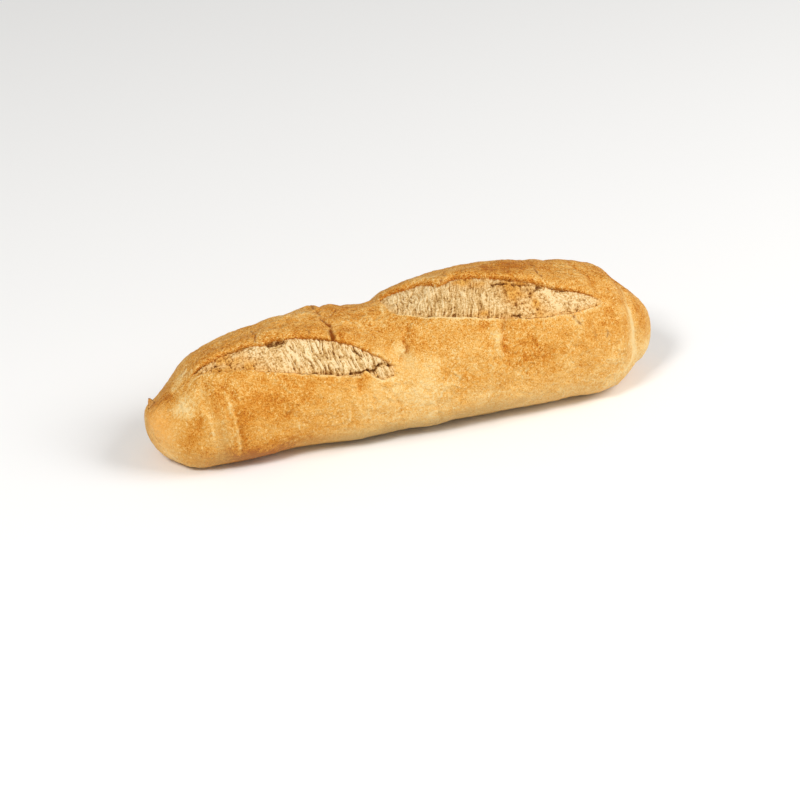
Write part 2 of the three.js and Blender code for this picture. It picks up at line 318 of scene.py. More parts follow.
# How much each thing deepens the crumb's colour, with what fibres add to gaps and pores: painted shade in
# gaps, pores, tears and holes, and painted highlight on ridges, waves and lumps
CRUMB_SHADE_AND_TONE = {
    "all": 0.04, "whole": 0.26, "ridges": -0.28, "waves": -0.22, "lumps": -0.1, "torn": 0.65, "gaps": 0.36,
    "fibre gaps": 0.14, "pores": 0.25, "fibre pores": -0.12,
}
# How toasted the crumb is, with the waves' lengths in mm and the edges' shares of its width
TOAST = {"all": 0.12, "waves": 0.15, "ends": 0.5, "front": 0.6, "rimmed": -0.5, "lip": 0.2}
TOAST_WAVE = 8.0
TOASTED_WAVE = 3.5
TOASTED_FRONT = 0.16
TOASTED_LIP = 0.08

# Browning of the crust by angle, from 0, pale, to 1, dark, before its patches
BROWNING = (
    (-90, -60, -38, -22, 0, 30, 60, 95, 130, 165, 190, 212, 235, 270),
    (0.42, 0.36, 0.2, 0.24, 0.38, 0.45, 0.52, 0.57, 0.55, 0.48, 0.36, 0.22, 0.36, 0.42),
)
# and how much each thing adds to it: painted shade darkens wrinkles and pits, painted highlight lightens
# ridges, curled crack edges and lumps
BROWNS = {
    "all": 0.05, "mottling": 0.09, "lumps": -0.02, "rough": -0.1, "pits": 0.35, "lip": 0.24, "rim": -0.75,
    "wrinkle_shade": 0.22, "ridges": -0.5, "curl_highlight": -0.15,
}
MOTTLING = ((16.0, 1.0), (6.0, 0.6))
# How much painted shade darkens cracks, and how much painted shadow darkens the lips' walls under the lips
CRACK_SHADE = 1.6
WALL_SHADOW = 0.75
# Painted shade on the foot, in a dull grey-brown: the angles below the sides over which it begins,
# and how strong it is along the loaf
FOOT_SHADE_BEGINS = (5, 24)
FOOT_SHADE_ALONG = ((-0.95, -0.8, -0.6, -0.38, -0.2, 0.05, 0.4, 0.7), (0.1, 0.5, 0.25, 0.5, 1.0, 0.9, 0.4, 0.1))
# Strength of the grain along the front and on the crown, and the angles between which it rises and falls
FRONT_GRAIN = ((-0.3, 0.0), (0.77, 1.0))
CROWN_GRAIN = 1.35
CROWN_SHARE = ((30, 70, 100, 125), (0, 1, 1, 0))
# Patches as (station, angle, reach along, reach round, amount): ones mixed with the grey-brown of the
# foot's painted shade, between the slim end's rings and beside the first slash's end,
DULL_PATCHES = ((-0.776, 0, 0.026, 24, 0.3), (-0.05, 38, 0.025, 8, 0.3))
# painted light at the slim tip, in a warm bright crust colour,
PAINTED_TIP_LIGHT = ((-0.985, 20, 0.045, 80, 0.6),)
# and browning that is added or taken away
PATCHES = (
    # slim end: brown spots and cheek, floury patches between them
    (-0.932, 83, 0.021, 13, 0.28), (-0.957, 110, 0.018, 22, 0.2), (-0.969, 24, 0.008, 9, 0.22),
    (-0.873, 16, 0.034, 18, 0.28), (-0.9, -12, 0.035, 22, 0.3), (-0.9, 91, 0.016, 10, -0.38),
    (-0.95, 50, 0.02, 16, -0.2), (-0.955, 4, 0.025, 18, -0.04), (-0.88, 46, 0.024, 14, -0.5),
    (-0.912, 42, 0.014, 10, -0.3), (-0.845, 74, 0.018, 9, -0.25), (-0.872, 100, 0.022, 11, -0.25),
    (-0.845, 97, 0.013, 7, -0.5),
    # brown front under the first slash, from the rings to its torn end, and a lighter place in it; low
    # on the front the browning is partly painted shade
    (-0.75, 44, 0.05, 17, 0.26), (-0.715, 6, 0.045, 18, 0.3), (-0.8, 6, 0.03, 20, 0.07),
    (-0.57, 24, 0.14, 18, 0.28), (-0.64, -26, 0.2, 17, 0.95), (-0.248, 25, 0.024, 9, 0.26),
    (-0.31, 29, 0.04, 4, 0.12), (-0.41, 20, 0.03, 12, -0.12),
    # first lip and the bridge between the slashes
    (-0.47, 104, 0.1, 14, -0.16), (-0.285, 61, 0.011, 5, 0.3), (-0.17, 84, 0.06, 14, 0.13),
    (-0.06, 97, 0.016, 7, -0.35),
    # cream front below the end of the first slash, and the lobe beside it, lit with painted light, with
    # painted shade past its step
    (-0.05, 10, 0.17, 24, -0.2), (-0.08, 44, 0.03, 9, -0.22), (-0.01, 52, 0.02, 10, 0.14),
    (-0.053, 38, 0.02, 7, -0.1), (-0.035, 2, 0.03, 9, -0.14), (0.06, 18, 0.03, 10, 0.16),
    # under the second slash: brown beside the dent, painted shade in it and painted light on its near side,
    # and pale by the slash's end
    (0.2, 42, 0.15, 10, 0.07), (0.25, 46, 0.03, 5, 0.15), (0.42, 19, 0.12, 13, 0.34),
    (0.322, 24, 0.018, 9, 0.1), (0.75, 38, 0.025, 9, 0.15), (0.285, 32, 0.016, 12, -0.2),
    (0.4, 33, 0.03, 8, -0.14), (0.175, 24, 0.03, 9, -0.16), (0.2, -3, 0.05, 9, -0.14),
    (0.65, 44, 0.05, 4, -0.2),
    # second lip: brown at its start, which is painted shade under the lip, and on top, lighter between
    (0.0, 106, 0.05, 7, 0.35), (0.46, 98, 0.12, 15, 0.24), (0.1, 101, 0.07, 12, -0.1),
    # broad end: orange knob, paler low down with painted light, and a pale fold
    (0.93, -4, 0.06, 24, -0.2), (0.94, 34, 0.03, 22, 0.14), (0.86, 34, 0.03, 36, -0.18),
)
# Their outlines stray this many times as far as a fold does
PATCH_STRAY = 1.8
# Rough floury places of the crust, in the same terms
ROUGH_PATCHES = ((-0.872, 44, 0.035, 18, 0.8), (-0.868, 96, 0.03, 16, 0.9), (-0.82, 72, 0.035, 9, 0.7))
# Toasted places of the crumb, in the same terms
TOASTED = (
    (-0.76, 76, 0.12, 22, 0.7), (-0.66, 54, 0.07, 9, 0.5), (0.4, 60, 0.06, 9, 0.75),
    (0.25, 52, 0.04, 3, 0.5), (0.46, 53, 0.04, 8, 0.6), (0.23, 83, 0.05, 5, 0.7),
    (0.31, 77, 0.05, 4.5, 0.7), (0.42, 70, 0.06, 4, 0.65),
)
# Light places of the crumb, and dark ones below nothing, in the same terms; the dark one by the first
# slash's front edge is painted shade under the fibres
LIGHT_CRUMB = (
    (-0.42, 52, 0.06, 16, 0.14), (-0.5, 46, 0.03, 6, 0.12), (-0.155, 31, 0.03, 5, 0.15),
    (-0.33, 35, 0.06, 3, -0.14), (0.2, 66, 0.3, 20, -0.12),
)
# Flakes that stand out, as (station, angle, heading, length, width, lift, browning), in degrees and mm
LONE_FLAKES = (
    # slim tip, its foot, and the first slash's start
    (-0.973, 118, 95, 5.0, 3.4, 3.6, 0.62), (-0.985, -25, 200, 2.4, 1.0, 0.6, 0.5),
    (-0.845, 100, 60, 3.0, 1.6, 0.5, 0.35), (-0.85, 92, 20, 2.6, 1.0, 0.4, 0.35),
    # the second slash's start and the bridge
    (-0.075, 106, 10, 3.4, 1.0, 0.4, 0.35), (-0.06, 103, 30, 2.6, 0.9, 0.5, 0.35),
)
# and random ones along each slash's front edge: how many, how far from its start and end, ranges of degrees
# off the edge, length, width as a share of it, lift and heading, and browning
FLAKE_COUNT = 12
FLAKE_MARGINS = (0.06, 0.05)
FLAKE_RANGES = ((-0.8, 0.6), (1.2, 2.6), (0.3, 0.5), (0.1, 0.4), (-40, 40))
FLAKE_BROWNING = 0.35
# Steps along and round a flake, and the shape and toast of its leaf, sizes in mm
FLAKE_STEPS = 8
LEAF = {
    "full": 1.75, "root": 0.25, "tip": 0.75, "thickness": 0.16, "level": 0.05, "behind": 0.3, "curl": 1.5,
    "arch": 0.3, "toast": (0.5, 0.9),
}

# Studio: half the floor's side, place and size of each lamp, in metres, and the camera's sensor in mm
FLOOR_HALF = 4.0
LAMPS = {"key": ((-0.95, -0.7, 1.2), 0.4), "fill": ((1.0, -0.53, 1.0), 0.9)}
SENSOR_WIDTH = 36.0


def linear(hex_colour):
    """Turns an sRGB hex colour into linear red, green, blue and alpha."""
    parts = np.array([int(hex_colour[i:i + 2], 16) for i in (1, 3, 5)]) / 255
    value = np.where(parts <= 0.04045, parts / 12.92, ((parts + 0.055) / 1.055) ** 2.4)
    return (*value.tolist(), 1.0)


def colour(name, description, hex_colour):
    return bpy.props.FloatVectorProperty(
        name=name, description=description, default=linear(hex_colour), size=4, min=0, max=1, subtype="COLOR"
    )


def amount(name, description, default, **settings):
    return bpy.props.FloatProperty(name=name, description=description, default=default, **settings)


class LoafSizes(bpy.types.PropertyGroup):
    """Sizes of the loaf's visible crust and crumb."""

    length: amount("Length", "Length from tip to tip", CAD_BOX[1][0] - CAD_BOX[0][0], unit="LENGTH")
    lump_height: amount("Lump height", "Height of the low lumps all over the crust, in millimetres", 0.46)
    peel: amount("Peel", "Distance between the fine bumps of the crust, in millimetres", 2.8)
    fleck: amount("Flecks", "Distance between the crust's flecks of flour, in millimetres", 1.2)
    crumb_lumps: amount("Crumb lumps", "Height of the torn crumb's lumps, in millimetres", 0.3)
    crumb_gaps: amount("Crumb gaps", "Depth of the gaps between fibres and grains, in millimetres", 0.62)
    seed: bpy.props.IntProperty(name="Seed", description="Start of every random draw", default=7)


class LoafColours(bpy.types.PropertyGroup):
    """Colours of crust and crumb."""

    crust_pale: colour("Pale crust", "Crust that has hardly browned", "#F6D596")
    crust_light: colour("Light crust", "Lightly baked crust", "#F0C174")
    crust_gold: colour("Golden crust", "Crust baked golden", "#E3A64E")
    crust_brown: colour("Brown crust", "Well baked crust", "#D08422")
    crust_dark: colour("Dark crust", "The darkest spots", "#A8560C")
    # Warm bright colour of the painted light on the slim tip
    crust_warm: colour("Tip light", "Painted light on the slim tip", "#F8B25A")
    # Grey-brown of the painted shade on the foot
    crust_foot: colour("Foot", "Painted shade low on the sides and under the loaf", "#BF9D62")
    # Dark brown of the painted shade in cracks and the painted shadow under the lips
    crust_crack: colour("Cracks", "Painted shade in the crust's cracks and under its lips", "#944C06")
    # Crumb colours: light for painted highlight on high fibres, hollow and holes for painted shade in pores
    # and tears
    crumb_light: colour("Light crumb", "High fibres of the torn crumb", "#F4DCAC")
    crumb_cream: colour("Cream crumb", "Most of the torn crumb", "#E0BC82")
    crumb_hollow: colour("Hollow crumb", "The crumb's pores and hollows", "#BA9052")
    crumb_hole: colour("Crumb holes", "The deepest holes and tears of the crumb", "#704014")
    crumb_toast: colour("Toast", "Tint of the crumb that the oven has toasted", "#F0CB88")


class StudioSettings(bpy.types.PropertyGroup):
    """Floor, lights and camera."""

    floor: colour("Floor", "Colour of the floor", "#FAF9F7")
    sky: amount("Sky", "Light from all round", 0.33)
    key: amount("Key light", "Power of the light from the left", 14.6, subtype="POWER")
    fill: amount("Fill light", "Power of the light from the right", 14.4, subtype="POWER")
    azimuth: amount("Azimuth", "Turn of the camera round the loaf", math.radians(-21.87), subtype="ANGLE")
    elevation: amount("Elevation", "Height of the camera", math.radians(29.124), subtype="ANGLE")
    distance: amount("Distance", "From the camera to its aim", 1.3522, unit="LENGTH")
    aim: bpy.props.FloatVectorProperty(
        name="Aim", description="The point in the middle of the picture", default=(0.00081, 0.00083, 0.00192),
        unit="LENGTH",
    )
    lens: amount("Lens", "Focal length in millimetres", 135.0)


class BaguetteSettings(bpy.types.PropertyGroup):
    """All that a user would change."""

    sizes: bpy.props.PointerProperty(type=LoafSizes)
    colours: bpy.props.PointerProperty(type=LoafColours)
    studio: bpy.props.PointerProperty(type=StudioSettings)


def bell(distance):
    """A soft hump: 1 in the middle, fading to 0 on both sides."""
    return np.exp(-distance * distance)


def beside(angle, edge, line):
    """A soft line along an edge: a bell round the angle that is so far past it."""
    past, width = line
    return bell((angle - edge - past) / width)


def smooth(share):
    """Eases from 0 to 1 with no corner at either end."""
    held = np.clip(share, 0, 1)
    return held * held * (3 - 2 * held)


def between(value, low, high):
    return smooth((value - low) / (high - low))


def at_end(u, pair):
    return np.where(u < 0, pair[0], pair[1])


def grade(u, pair, ease):
    share = smooth((u - ease["middle"]) / (2 * ease["reach"]) + 0.5)
    return pair[0] + (pair[1] - pair[0]) * share


def noise(x, y, z, seed):
    """Random waves about one unit long: values from -1 to 1 at whole-number places, eased between them."""
    size = 64
    table = np.random.default_rng(seed).uniform(-1, 1, (size, size, size)).astype(np.float32)
    place = np.stack(np.broadcast_arrays(x, y, z))
    whole = np.floor(place).astype(int)
    share = place - whole
    ease = share ** 3 * (share * (share * 6 - 15) + 10)
    side = np.stack([whole % size, (whole + 1) % size])
    weight = np.stack([1 - ease, ease])
    total = 0
    for k, j, i in np.ndindex(2, 2, 2):
        corner = table[side[i, 0], side[j, 1], side[k, 2]]
        total = total + corner * (weight[i, 0] * weight[j, 1] * weight[k, 2])
    return total


def noise_at(points, size, seed):
    """Random waves about this many mm long, at points in mm."""
    return noise(*np.moveaxis(points / size, -1, 0), seed)


def layers(points, waves, seed):
    """Sum of random waves of several sizes in mm, each times its height."""
    return sum(height * noise_at(points, size, seed + turn) for turn, (size, height) in enumerate(waves))


def creases(waves):
    """Sharp creases round rounded lumps, 0 to 1: where random waves pass through nothing."""
    return 1 - np.clip(CREASE_SHARPNESS * np.abs(waves), 0, 1)


def uneven(points, gaps, seed):
    """How far a crack or tear has opened at each point: random waves about a level, held in a range."""
    size, level, swing, least, most = gaps
    return np.clip(level + swing * noise_at(points, size, seed), least, most)


def weighed(weights, parts):
    """Sum of parts, each times the weight of its name."""
    return sum(weights[key] * part for key, part in parts.items())


def end_share(u, fullness, nose_step):
    """Share of the full size left at a station: a step down to the nose, then a rounded tip."""
    past = (np.abs(u) - at_end(u, SHOULDER)) / at_end(u, SHOULDER_RUN) + 0.5
    nose = 1 - at_end(u, nose_step) * smooth(past)
    left = np.maximum(1 - np.abs(u) ** at_end(u, fullness), 0)
    return nose * left ** (1 / at_end(u, END_ROUNDNESS))


def loaf_points(u, angle, height):
    """Points of the loaf in mm: a superellipse at each station, lifted by height and cut flat below.

    The section's half width, rise and fall are the loaf's sizes times the share that its ends leave,
    and it is squarer at the foot than at the crown.
    """
    saddle = SADDLE["depth"] * bell((u - SADDLE["at"]) / SADDLE["reach"])
    full = grade(u, CROWN_HEIGHT, RISING) - saddle - at_end(u, CROWN_DROOP) * u * u
    under = end_share(u, UNDER_FULLNESS, NOSE_STEP_UNDER)
    level = at_end(u, TIP_HEIGHT) + (BELLY_LEVEL * full - at_end(u, TIP_HEIGHT)) * under
    half_width = grade(u, HALF_WIDTH, WIDENING) * end_share(u, SIDE_FULLNESS, NOSE_STEP_SIDE)
    rise = (full - level) * end_share(u, CROWN_FULLNESS, NOSE_STEP_CROWN)
    turn = np.radians(angle)
    upper = np.sin(turn) >= 0
    power = np.where(upper, CROWN_SQUARENESS, FOOT_SQUARENESS)
    reach = np.maximum(np.where(upper, rise, level * under), LEAST_RADIUS)
    across = np.abs(np.cos(turn) / np.maximum(half_width, LEAST_RADIUS)) ** power
    upward = np.abs(np.sin(turn) / reach) ** power
    radius = (across + upward) ** (-1 / power) + height * (np.abs(u) < 1)
    x = u * HALF_LENGTH
    y = BOW["out"] * (1 - BOW["curl"] * u * u) - radius * np.cos(turn)
    z = np.maximum(level + radius * np.sin(turn) - TRAY_CUT, 0)
    return np.stack(np.broadcast_arrays(x, y, z), axis=-1)


def ragged(u, seed):
    """A wandering line along the loaf: waves, each shorter and lower than the one before."""
    along = u * HALF_LENGTH
    waves = enumerate(RAGGED_WAVES)
    return sum(noise(along / wave, 0.5, 0.5, seed + turn) / (turn + 1) for turn, wave in waves)


def strays(points, seed):
    """How far lines stray at each point, in stations along the loaf and in degrees round it."""
    along = layers(points, WANDER_WAVES, seed + 24)
    around = layers(points, WANDER_WAVES, seed + 26)
    return WANDER * along / HALF_LENGTH, WANDER * around / ARC_PER_DEGREE


def slash_share(u, slash):
    """Places along a slash, from 0 at its start to 1 at its end."""
    return (u - slash["start"]) / (slash["end"] - slash["start"])


def tongues(u, places):
    """Degrees that tongues or dips move an edge by, each a bell along it."""
    return sum(degrees * bell((u - at) / reach) for at, reach, degrees in places)


def slash_edges(u, slash, seed):
    """Angles of a slash's front and back edge, and the share of its full tear, at each station.

    Its middle line swings from angle to angle, its half opening is a skewed sine, and both edges wander.
    """
    along = np.clip(slash_share(u, slash), 0, 1)
    peak = math.log(0.5) / math.log(slash["widest_at"])
    opening = np.maximum(np.sin(np.pi * along ** peak), 0) ** slash["fullness"]
    swing = slash["start_angle"] - slash["end_angle"]
    middle = slash["end_angle"] + swing * (1 - along) ** slash["bend"]
    half = np.maximum(slash["half_opening"] * opening, np.interp(along, (0, 1), slash["least"]))
    tear = smooth(along / slash["fades"][0]) * smooth((1 - along) / slash["fades"][1])
    front = middle - half + tongues(u, slash["tongues"]) + tear * FRONT_RAGGED * ragged(u, seed)
    back = middle + half + tongues(u, slash["dips"]) + tear * LIP_RAGGED * ragged(u, seed + 5)
    return front, back, tear


def bed_depth(inside, slash):
    """Depth of a slash's bed between its front edge, 0, and its lip, 1: a drop, eased to the full depth."""
    return FRONT_DROP + (slash["depth"] - FRONT_DROP) * smooth(inside) ** DEEPENING


def slash_relief(u, angle, slash, seed):
    """Rim in front, a bed under the crumb, and a raised lip behind that falls off steeply to the bed."""
    front, back, tear = slash_edges(u, slash, seed)
    from_front = angle - front
    from_lip = angle - back
    bed = bed_depth(from_front / (back - front), slash) + UNDER_CRUMB
    past_front = between(from_front, -EDGE_ANGLE, EDGE_ANGLE)
    past_lip = between(from_lip, -EDGE_ANGLE, EDGE_ANGLE)
    behind = bell(np.maximum(from_lip - LIP_CREST, 0) / LIP_ANGLE)
    rolled = np.clip(1 - from_lip / LIP_CREST, 0, 1) ** 2
    lip = PLUMPER * slash["lip"] * past_lip * (behind - LIP_ROLL * rolled)
    rim = FRONT_RIM * bell((from_front + RIM_ANGLE) / RIM_ANGLE)
    return tear * (lip + rim - bed * past_front * (1 - past_lip))


def groove(u, angle, line):
    """How much of a groove is at each place, 0 to 1: a bell across the line between its two ends."""
    u0, angle0, u1, angle1, _, width = line
    run_x = (u1 - u0) * HALF_LENGTH
    run_y = (angle1 - angle0) * ARC_PER_DEGREE
    x = (u - u0) * HALF_LENGTH
    y = (angle - angle0) * ARC_PER_DEGREE
    length = math.hypot(run_x, run_y)
    along = (x * run_x + y * run_y) / length ** 2
    across = (x * run_y - y * run_x) / length
    return bell(across / width) * smooth(along / GROOVE_FADE) * smooth((1 - along) / GROOVE_FADE)


def grooves(u, angle, lines):
    """Depth in mm of all the grooves of a list."""
    return sum(line[4] * groove(u, angle, line) for line in lines)


def patches(u, angle, places):
    """Sum of soft oval patches, each a bell along times a bell round, times its amount."""
    return sum(
        height * bell((u - at) / along) * bell((angle - turn) / around)
        for at, turn, along, around, height in places
    )


def station_line(count):
    """Stations from -1 to 1, closer at the tips: an even line plus an eighth of it less its ninth power."""
    even = np.linspace(-1, 1, count)
    return even + (even - even ** TIP_CROWDING) / (TIP_CROWDING - 1)


def crust_columns(u, seed):
    """Angles of the crust's columns, which follow the slashes' edges and even out at the tips."""
    knots = []
    steps = []
    for slash, gap in zip(SLASHES, ("slashes", "back")):
        front, back, _ = slash_edges(u, slash, seed)
        past = u - np.clip(u, slash["start"], slash["end"])
        twist = np.clip(TWIST * past, -MOST_TWIST, MOST_TWIST)
        knots += [front - twist - EDGE_ANGLE, front - twist + EDGE_ANGLE]
        knots += [back - twist - EDGE_ANGLE, back - twist + EDGE_ANGLE, back - twist + LIP_ANGLE]
        steps += [*SLASH_STEPS, GAP_STEPS[gap]]
    knots[4] = np.minimum(knots[4], (knots[3] + knots[5]) / 2)
    knots += [np.full_like(u, FOOT_ANGLES["back"]), np.full_like(u, FOOT_ANGLES["front"]), knots[0] + 360]
    steps += [GAP_STEPS["foot"], GAP_STEPS["front"]]
    spans = zip(knots[:-1], knots[1:], steps)
    angles = [low + (high - low) * np.arange(count) / count for low, high, count in spans]
    angles = np.concatenate(angles, axis=1)
    columns = angles.shape[1]
    even = knots[0] + 360 * np.arange(columns) / columns
    return angles + (even - angles) * between(np.abs(u), *EVEN_TIPS)


def form_relief(u, front):
    """Relief that the crust shares with its solid: folds, bulges and slow swells."""
    swells = sum(
        height * np.sin(along * u + start) * np.cos(round_ * np.radians(front) + turn)
        for height, along, start, round_, turn in SWELLS
    )
    return patches(u, front, BULGES) - grooves(u, front, FOLDS) + swells * (1 - np.abs(u) ** SWELL_FADE)


def front_range(angle):
    """The same angles, from -90 under the loaf over front, crown and back to 270."""
    return np.mod(angle + 90, 360) - 90


def in_frame(points, sizes):
    """Centres points as the solid is in its box, and scales them to the loaf's length."""
    u = station_line(STATIONS)[:, None]
    angle = crust_columns(u, sizes.seed)
    y = loaf_points(u, angle, form_relief(u, front_range(angle)))[..., 1]
    shift = np.array([0, -(y.min() + y.max()) / 2, 0])
    return (points + shift) * (sizes.length / MM / LOAF_LENGTH)


def crust_surface(sizes):
    """Crust as rings of points in mm, with the values that its material reads.

    Each point is the loaf's section plus the shared form, the slashes, uneven cracks with curled edges,
    wrinkles, ridges and low random lumps; beside the slashes and in floury places it is pitted. Browning goes
    by angle, patches and random mottling; lips are browner, rims and pale creases paler, and some patches
    hold painted light and painted shade. Painted shade darkens wrinkles, pits, cracks and the lips' walls,
    and the foot in a dull grey-brown; painted highlight lightens ridges, curled edges and lumps, and painted
    light the slim tip. The grain is strongest on the crown.
    """
    seed = sizes.seed
    u = station_line(STATIONS)[:, None]
    angle = crust_columns(u, seed)
    front = front_range(angle)
    plain = loaf_points(u, angle, 0 * angle)
    stray_u, stray_angle = strays(plain, seed)
    strayed = (u + stray_u, front + stray_angle)
    crooked = (u + CRACK_STRAY * stray_u, front + CRACK_STRAY * stray_angle)
    relief = form_relief(*strayed) + patches(u, front, CRUST_BULGES)
    rough = patches(u, front, ROUGH_PATCHES)
    lip_line = 0
    rim = 0
    under_lip_shadow = 0
    for slash in SLASHES:
        relief = relief + slash_relief(u, front, slash, seed)
        slash_front, slash_back, tear = slash_edges(u, slash, seed)
        along = slash_share(u, slash)
        crumbly = np.interp(along, *slash["crumbly"])
        plain_lip = tear * (1 - LINE_LOST * crumbly)
        rough = rough + FRONT_ROUGHNESS * tear * beside(front, slash_front, ROUGH_FRONT)
        rough = rough + tear * crumbly * beside(front, slash_back, ROUGH_LIP)
        lip_line = lip_line + plain_lip * beside(front, slash_back, LIP_LINE)
        # Painted shadow along the wall under each lip
        under_lip_shadow = under_lip_shadow + plain_lip * beside(front, slash_back, LIP_SHADOW_LINE)
        rim = rim + tear * np.interp(along, *slash["rimmed"]) * beside(front, slash_front, PALE_RIM)
    lumps = layers(plain, LUMPS, seed + 20)
    pits = creases(noise_at(plain, PIT_SIZE, seed + 23))
    upright = between(plain[..., 2], 0, LUMPS_BEGIN)
    cracked = grooves(*crooked, CRACKS) * uneven(plain, CRACK_GAPS, seed + 28)
    curled = grooves(*crooked, [(*line[:5], CURL_WIDTH * line[5]) for line in CRACKS])
    wrinkled = grooves(*strayed, WRINKLES)
    ridged = grooves(*strayed, RIDGES)
    relief = relief + (sizes.lump_height * lumps - PIT_DEPTH * rough * pits) * upright
    relief = relief + ridged + CURL_HEIGHT * curled - CRACK_DEPTH * cracked - wrinkled
    points = loaf_points(u, angle, relief)

    browning = np.interp(front, *BROWNING) - grooves(u + stray_u / 2, front, PALE_CREASES)
    browning = browning + patches(u + PATCH_STRAY * stray_u, front + PATCH_STRAY * stray_angle, PATCHES)
    # Painted shade in wrinkles and pits, painted highlight on ridges, curled crack edges and lumps
    browning = browning + weighed(BROWNS, {
        "all": 1, "mottling": layers(plain, MOTTLING, seed + 30), "lumps": lumps * upright, "rough": rough,
        "pits": rough * pits, "lip": lip_line, "rim": rim, "wrinkle_shade": wrinkled, "ridges": ridged,
        "curl_highlight": curled,
    })
    grainy = np.interp(u, *FRONT_GRAIN)
    grainy = grainy + (CROWN_GRAIN - grainy) * np.interp(front, *CROWN_SHARE)
    # Painted shade on the foot, low on the sides and under the loaf
    foot = between(np.maximum(-front, front - 180), *FOOT_SHADE_BEGINS) * np.interp(u, *FOOT_SHADE_ALONG)
    return points, {
        "browning": browning,
        "grainy": grainy,
        # Painted light on the slim tip
        "warm": patches(u, front, PAINTED_TIP_LIGHT),
        "foot": foot + patches(u, front, DULL_PATCHES),
        "crack": np.clip(CRACK_SHADE * cracked + WALL_SHADOW * under_lip_shadow, 0, 1),
    }


def crumb_waves(plain, thread, drawn, fibrous, texture, seed):
    """Random waves of the crumb: long along its fibres where it is fibrous, round like grains elsewhere."""
    width, length, size, creased, first, second = texture
    fibre = noise(thread / width, drawn / length, 0.5, seed + first)
    grain = noise_at(plain, size, seed + second)
    if creased:
        fibre = creases(fibre)
        grain = creases(grain)
    return fibrous * fibre + (1 - fibrous) * grain


def crumb_surface(slash, sizes):
    """Torn crumb of one slash as closed rings of points in mm, with its hollows and its toasting.

    The top runs from under the front edge to under the lip along the slash's bed. It is lumpy, and cut by
    creases, drawn out to slanting fibres where the crumb was pulled apart and round grains elsewhere, and by
    tears. The underside is the same line deeper down. Its colour is darkened with painted shade in gaps,
    pores, tears and holes, and lightened with painted highlight on high fibres and lumps.
    """
    seed = sizes.seed
    own = seed + slash["seed"]
    u = np.linspace(slash["start"] + CRUMB_MARGIN, slash["end"] - CRUMB_MARGIN, CRUMB_STATIONS)[:, None]
    front, back, tear = slash_edges(u, slash, seed)
    width = back - front + 2 * CRUMB_TUCK
    share = np.linspace(0, 1, CRUMB_COLUMNS)[None]
    angle = front - CRUMB_TUCK + width * share
    inside = np.clip((angle - front) / (back - front), 0, 1)
    along = slash_share(u, slash)
    fibrous = np.interp(along, *slash["fibrous"])
    plain = loaf_points(u, angle, 0 * angle)
    stray_u, stray_angle = strays(plain, seed)
    strayed = (u + stray_u, angle + stray_angle)
    arc = angle * ARC_PER_DEGREE
    thread = plain[..., 0] + slash["lean"] * arc + noise_at(plain, THREAD_WAVE, own + 1)
    drawn = arc + DRAWN_OUT * noise(thread / DRAWN_WIDTH, 0.5, 0.5, own + 9)
    ridges, waves, gaps = (
        crumb_waves(plain, thread, drawn, fibrous, texture, own) for texture in CRUMB_TEXTURES
    )
    bumps = BUMP["height"] * (1 - BUMP["lost"] * fibrous) * noise_at(plain, BUMP["size"], own + 7)
    lumps = noise_at(plain, LUMP_SIZE, own + 6) + bumps
    pores = between(noise(thread / PORES["width"], drawn / PORES["length"], 0.5, own + 11), *PORES["open"])
    holes = slash["holes"] * (1 - fibrous) * between(noise_at(plain, HOLES["size"], own + 15), *HOLES["open"])
    whole = 1 - grooves(*strayed, CRUMB_SMEARS)
    gaps = slash["gaps"] * gaps * whole
    pores = slash["gaps"] * pores * whole
    torn = (grooves(*strayed, CRUMB_TEARS) + holes * whole) * uneven(plain, TEAR_GAPS, own + 14)
    parted = np.clip(PARTED + ragged(u, own + 10), 0, 1)
    front_gap = np.interp(along, *slash["parted"]) * beside(angle, front, FRONT_GAP)
    torn = torn + EDGE_GAP * parted * (front_gap + beside(angle, back, LIP_GAP))
    rough = sizes.crumb_lumps * (lumps + ridges + waves) - torn
    rough = rough - sizes.crumb_gaps * (GAP_SHARE * gaps + PORE_SHARE * pores)
    tucked = 1 - smooth(np.minimum(share, 1 - share) * width / CRUMB_TUCK)
    puff = CRUMB_PUFF * np.sin(np.pi * inside) + CRUMB_RISE * between(inside, *RISE_FROM)
    raised = CRUMB_LIFT + puff - bed_depth(inside, slash) + rough - TUCK_DEPTH * tucked
    height = tear * raised - END_DEPTH * (1 - tear)
    top = loaf_points(u, angle, height + form_relief(u, angle))
    low_angle = front - CRUMB_TUCK + width * np.linspace(1, 0, CRUMB_BACK_COLUMNS + 2)[1:-1][None]
    low = loaf_points(u, low_angle, form_relief(u, low_angle) - slash["depth"] - CRUMB_THICKNESS)
    rings = np.concatenate([top, low], axis=1)
    rings[0] = rings[0].mean(axis=0)
    rings[-1] = rings[-1].mean(axis=0)

    # Painted shade in gaps, pores, tears and holes, painted highlight on ridges, waves and lumps
    hollow = weighed(CRUMB_SHADE_AND_TONE, {
        "all": 1, "whole": whole, "ridges": ridges, "waves": waves, "lumps": lumps, "torn": torn,
        "gaps": gaps, "fibre gaps": fibrous * gaps, "pores": pores, "fibre pores": fibrous * pores,
    }) - patches(u, angle, LIGHT_CRUMB)
    by_front = bell(inside / TOASTED_FRONT)
    toast = weighed(TOAST, {
        "all": 1, "waves": noise_at(plain, TOAST_WAVE, own + 8), "ends": 1 - tear, "front": by_front,
        "rimmed": np.interp(along, *slash["rimmed"]) * by_front, "lip": bell((inside - 1) / TOASTED_LIP),
    }) + patches(u, angle, TOASTED) * (1 + noise_at(plain, TOASTED_WAVE, own + 16))
    under = np.zeros((CRUMB_STATIONS, CRUMB_BACK_COLUMNS))
    return rings, {
        "hollow": np.concatenate([np.clip(hollow, 0, 1), under + 1], axis=1),
        "toast": np.concatenate([np.clip(toast, 0, 1), under], axis=1),
    }


